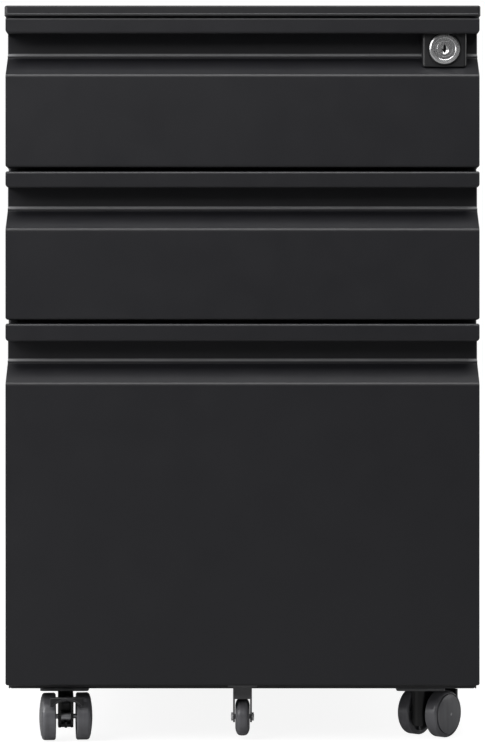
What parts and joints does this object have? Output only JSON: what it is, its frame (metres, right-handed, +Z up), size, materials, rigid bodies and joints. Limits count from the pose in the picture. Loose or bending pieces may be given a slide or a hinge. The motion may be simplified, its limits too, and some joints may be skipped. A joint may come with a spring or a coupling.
{
  "type": "rolling pedestal cabinet",
  "caption": "Steel under-desk pedestal with full-width recessed pulls, a file drawer below box drawers, a front lock, twin-wheel casters and an anti-tip wheel.",
  "frame": {"origin": "on the floor, under the middle of the footprint", "axes": "+Z up, the drawers open towards -Y, +X to the right seen from the front"},
  "size_m": [0.39, 0.5, 0.605],
  "materials": {
    "black_powder_coat": "satin",
    "slide_steel": "zinc plated",
    "bearing_steel": "polished",
    "plated_steel": "zinc plated",
    "lock_chrome": "polished",
    "lock_plastic": "satin",
    "caster_plastic": "satin",
    "wheel_nylon": "satin",
    "grey_bracket": "satin"
  },
  "bodies": {
    "case": {"left_side_panel": "black_powder_coat", "right_side_panel": "black_powder_coat", "back_panel": "black_powder_coat", "top_panel": "black_powder_coat", "base_panel": "black_powder_coat", "front_cross_rails": "black_powder_coat", "slide_uprights": "black_powder_coat", "slide_outer_members": "slide_steel", "lock_bar_guides": "caster_plastic", "caster_plates": "grey_bracket", "caster_screws": "plated_steel"},
    "drawer_1": {"drawer_1_front": "black_powder_coat", "drawer_1_inner_front": "black_powder_coat", "drawer_1_tray": "black_powder_coat", "drawer_1_back": "black_powder_coat", "drawer_1_slide_inner": "slide_steel", "lock_housing": "lock_plastic", "lock_barrel": "lock_chrome", "lock_nut": "plated_steel"},
    "drawer_1_middle": {"drawer_1_slide_middle": "slide_steel", "drawer_1_slide_balls": "bearing_steel"},
    "drawer_2": {"drawer_2_front": "black_powder_coat", "drawer_2_inner_front": "black_powder_coat", "drawer_2_tray": "black_powder_coat", "drawer_2_back": "black_powder_coat", "drawer_2_slide_inner": "slide_steel"},
    "drawer_2_middle": {"drawer_2_slide_middle": "slide_steel", "drawer_2_slide_balls": "bearing_steel"},
    "drawer_3": {"drawer_3_front": "black_powder_coat", "drawer_3_inner_front": "black_powder_coat", "drawer_3_tray": "black_powder_coat", "drawer_3_back": "black_powder_coat", "drawer_3_slide_inner": "slide_steel", "file_rails": "plated_steel", "anti_tip_bracket": "grey_bracket", "anti_tip_axle": "plated_steel"},
    "drawer_3_middle": {"drawer_3_slide_middle": "slide_steel", "drawer_3_slide_balls": "bearing_steel"},
    "lock_core": {"lock_core": "lock_chrome", "lock_cam": "plated_steel"},
    "lock_bar": {"lock_bar": "plated_steel"},
    "caster_fl": {"caster_fl_body": "caster_plastic", "caster_fl_axle": "plated_steel"},
    "caster_fl_wheel_a": {"caster_fl_wheel_a": "wheel_nylon"},
    "caster_fl_wheel_b": {"caster_fl_wheel_b": "wheel_nylon"},
    "caster_fl_brake_lever": {"caster_fl_brake_lever": "caster_plastic"},
    "caster_fr": {"caster_fr_body": "caster_plastic", "caster_fr_axle": "plated_steel"},
    "caster_fr_wheel_a": {"caster_fr_wheel_a": "wheel_nylon"},
    "caster_fr_wheel_b": {"caster_fr_wheel_b": "wheel_nylon"},
    "caster_fr_brake_lever": {"caster_fr_brake_lever": "caster_plastic"},
    "caster_rl": {"caster_rl_body": "caster_plastic", "caster_rl_axle": "plated_steel"},
    "caster_rl_wheel_a": {"caster_rl_wheel_a": "wheel_nylon"},
    "caster_rl_wheel_b": {"caster_rl_wheel_b": "wheel_nylon"},
    "caster_rr": {"caster_rr_body": "caster_plastic", "caster_rr_axle": "plated_steel"},
    "caster_rr_wheel_a": {"caster_rr_wheel_a": "wheel_nylon"},
    "caster_rr_wheel_b": {"caster_rr_wheel_b": "wheel_nylon"},
    "anti_tip_wheel": {"anti_tip_wheel": "wheel_nylon"}
  },
  "joints": [
    {"name": "drawer_1_slide", "type": "slide", "parent": "case", "child": "drawer_1", "axis": [0, -1, 0], "range_m": [0, 0.44]},
    {"name": "drawer_1_middle_slide", "type": "slide", "parent": "case", "child": "drawer_1_middle", "axis": [0, -1, 0], "range_m": [0, 0.221]},
    {"name": "drawer_2_slide", "type": "slide", "parent": "case", "child": "drawer_2", "axis": [0, -1, 0], "range_m": [0, 0.44]},
    {"name": "drawer_2_middle_slide", "type": "slide", "parent": "case", "child": "drawer_2_middle", "axis": [0, -1, 0], "range_m": [0, 0.221]},
    {"name": "drawer_3_slide", "type": "slide", "parent": "case", "child": "drawer_3", "axis": [0, -1, 0], "range_m": [0, 0.44]},
    {"name": "drawer_3_middle_slide", "type": "slide", "parent": "case", "child": "drawer_3_middle", "axis": [0, -1, 0], "range_m": [0, 0.221]},
    {"name": "lock_turn", "type": "hinge", "parent": "drawer_1", "child": "lock_core", "pos_m": [0.1659, -0.23, 0.5701], "axis": [0, 1, 0], "range_deg": [0, 90]},
    {"name": "lock_bar_drop", "type": "slide", "parent": "case", "child": "lock_bar", "axis": [0, 0, -1], "range_m": [0, 0.01202]},
    {"name": "caster_fl_swivel", "type": "hinge", "parent": "case", "child": "caster_fl", "pos_m": [-0.148, -0.208, 0.03], "axis": [0, 0, 1], "continuous": true},
    {"name": "caster_fl_wheel_a_spin", "type": "hinge", "parent": "caster_fl", "child": "caster_fl_wheel_a", "pos_m": [-0.14654, -0.22192, 0.0195], "axis": [0.9945, 0.1045, 0], "continuous": true},
    {"name": "caster_fl_wheel_b_spin", "type": "hinge", "parent": "caster_fl", "child": "caster_fl_wheel_b", "pos_m": [-0.14654, -0.22192, 0.0195], "axis": [0.9945, 0.1045, 0], "continuous": true},
    {"name": "caster_fl_brake", "type": "hinge", "parent": "caster_fl", "child": "caster_fl_brake_lever", "pos_m": [-0.14637, -0.22351, 0.0326], "axis": [0.9945, 0.1045, 0], "range_deg": [0, 10]},
    {"name": "caster_fr_swivel", "type": "hinge", "parent": "case", "child": "caster_fr", "pos_m": [0.148, -0.208, 0.03], "axis": [0, 0, 1], "continuous": true},
    {"name": "caster_fr_wheel_a_spin", "type": "hinge", "parent": "caster_fr", "child": "caster_fr_wheel_a", "pos_m": [0.15691, -0.1972, 0.0195], "axis": [-0.7716, 0.6361, 0], "continuous": true},
    {"name": "caster_fr_wheel_b_spin", "type": "hinge", "parent": "caster_fr", "child": "caster_fr_wheel_b", "pos_m": [0.15691, -0.1972, 0.0195], "axis": [-0.7716, 0.6361, 0], "continuous": true},
    {"name": "caster_fr_brake", "type": "hinge", "parent": "caster_fr", "child": "caster_fr_brake_lever", "pos_m": [0.15792, -0.19596, 0.0326], "axis": [-0.7716, 0.6361, 0], "range_deg": [0, 10]},
    {"name": "caster_rl_swivel", "type": "hinge", "parent": "case", "child": "caster_rl", "pos_m": [-0.148, 0.208, 0.03], "axis": [0, 0, 1], "continuous": true},
    {"name": "caster_rl_wheel_a_spin", "type": "hinge", "parent": "caster_rl", "child": "caster_rl_wheel_a", "pos_m": [-0.14321, 0.19484, 0.0195], "axis": [0.9397, 0.342, 0], "continuous": true},
    {"name": "caster_rl_wheel_b_spin", "type": "hinge", "parent": "caster_rl", "child": "caster_rl_wheel_b", "pos_m": [-0.14321, 0.19484, 0.0195], "axis": [0.9397, 0.342, 0], "continuous": true},
    {"name": "caster_rr_swivel", "type": "hinge", "parent": "case", "child": "caster_rr", "pos_m": [0.148, 0.208, 0.03], "axis": [0, 0, 1], "continuous": true},
    {"name": "caster_rr_wheel_a_spin", "type": "hinge", "parent": "caster_rr", "child": "caster_rr_wheel_a", "pos_m": [0.14276, 0.19502, 0.0195], "axis": [0.9272, -0.3746, 0], "continuous": true},
    {"name": "caster_rr_wheel_b_spin", "type": "hinge", "parent": "caster_rr", "child": "caster_rr_wheel_b", "pos_m": [0.14276, 0.19502, 0.0195], "axis": [0.9272, -0.3746, 0], "continuous": true},
    {"name": "anti_tip_wheel_spin", "type": "hinge", "parent": "drawer_3", "child": "anti_tip_wheel", "pos_m": [0, -0.216, 0.0184], "axis": [1, 0, 0], "continuous": true}
  ],
  "couplings": [
    {"joint": "drawer_1_middle_slide", "follows": "drawer_1_slide", "ratio": 0.5},
    {"joint": "drawer_2_middle_slide", "follows": "drawer_2_slide", "ratio": 0.5},
    {"joint": "drawer_3_middle_slide", "follows": "drawer_3_slide", "ratio": 0.5},
    {"joint": "lock_turn", "follows": "lock_bar_drop", "rad_per_m": 130.67}
  ]
}
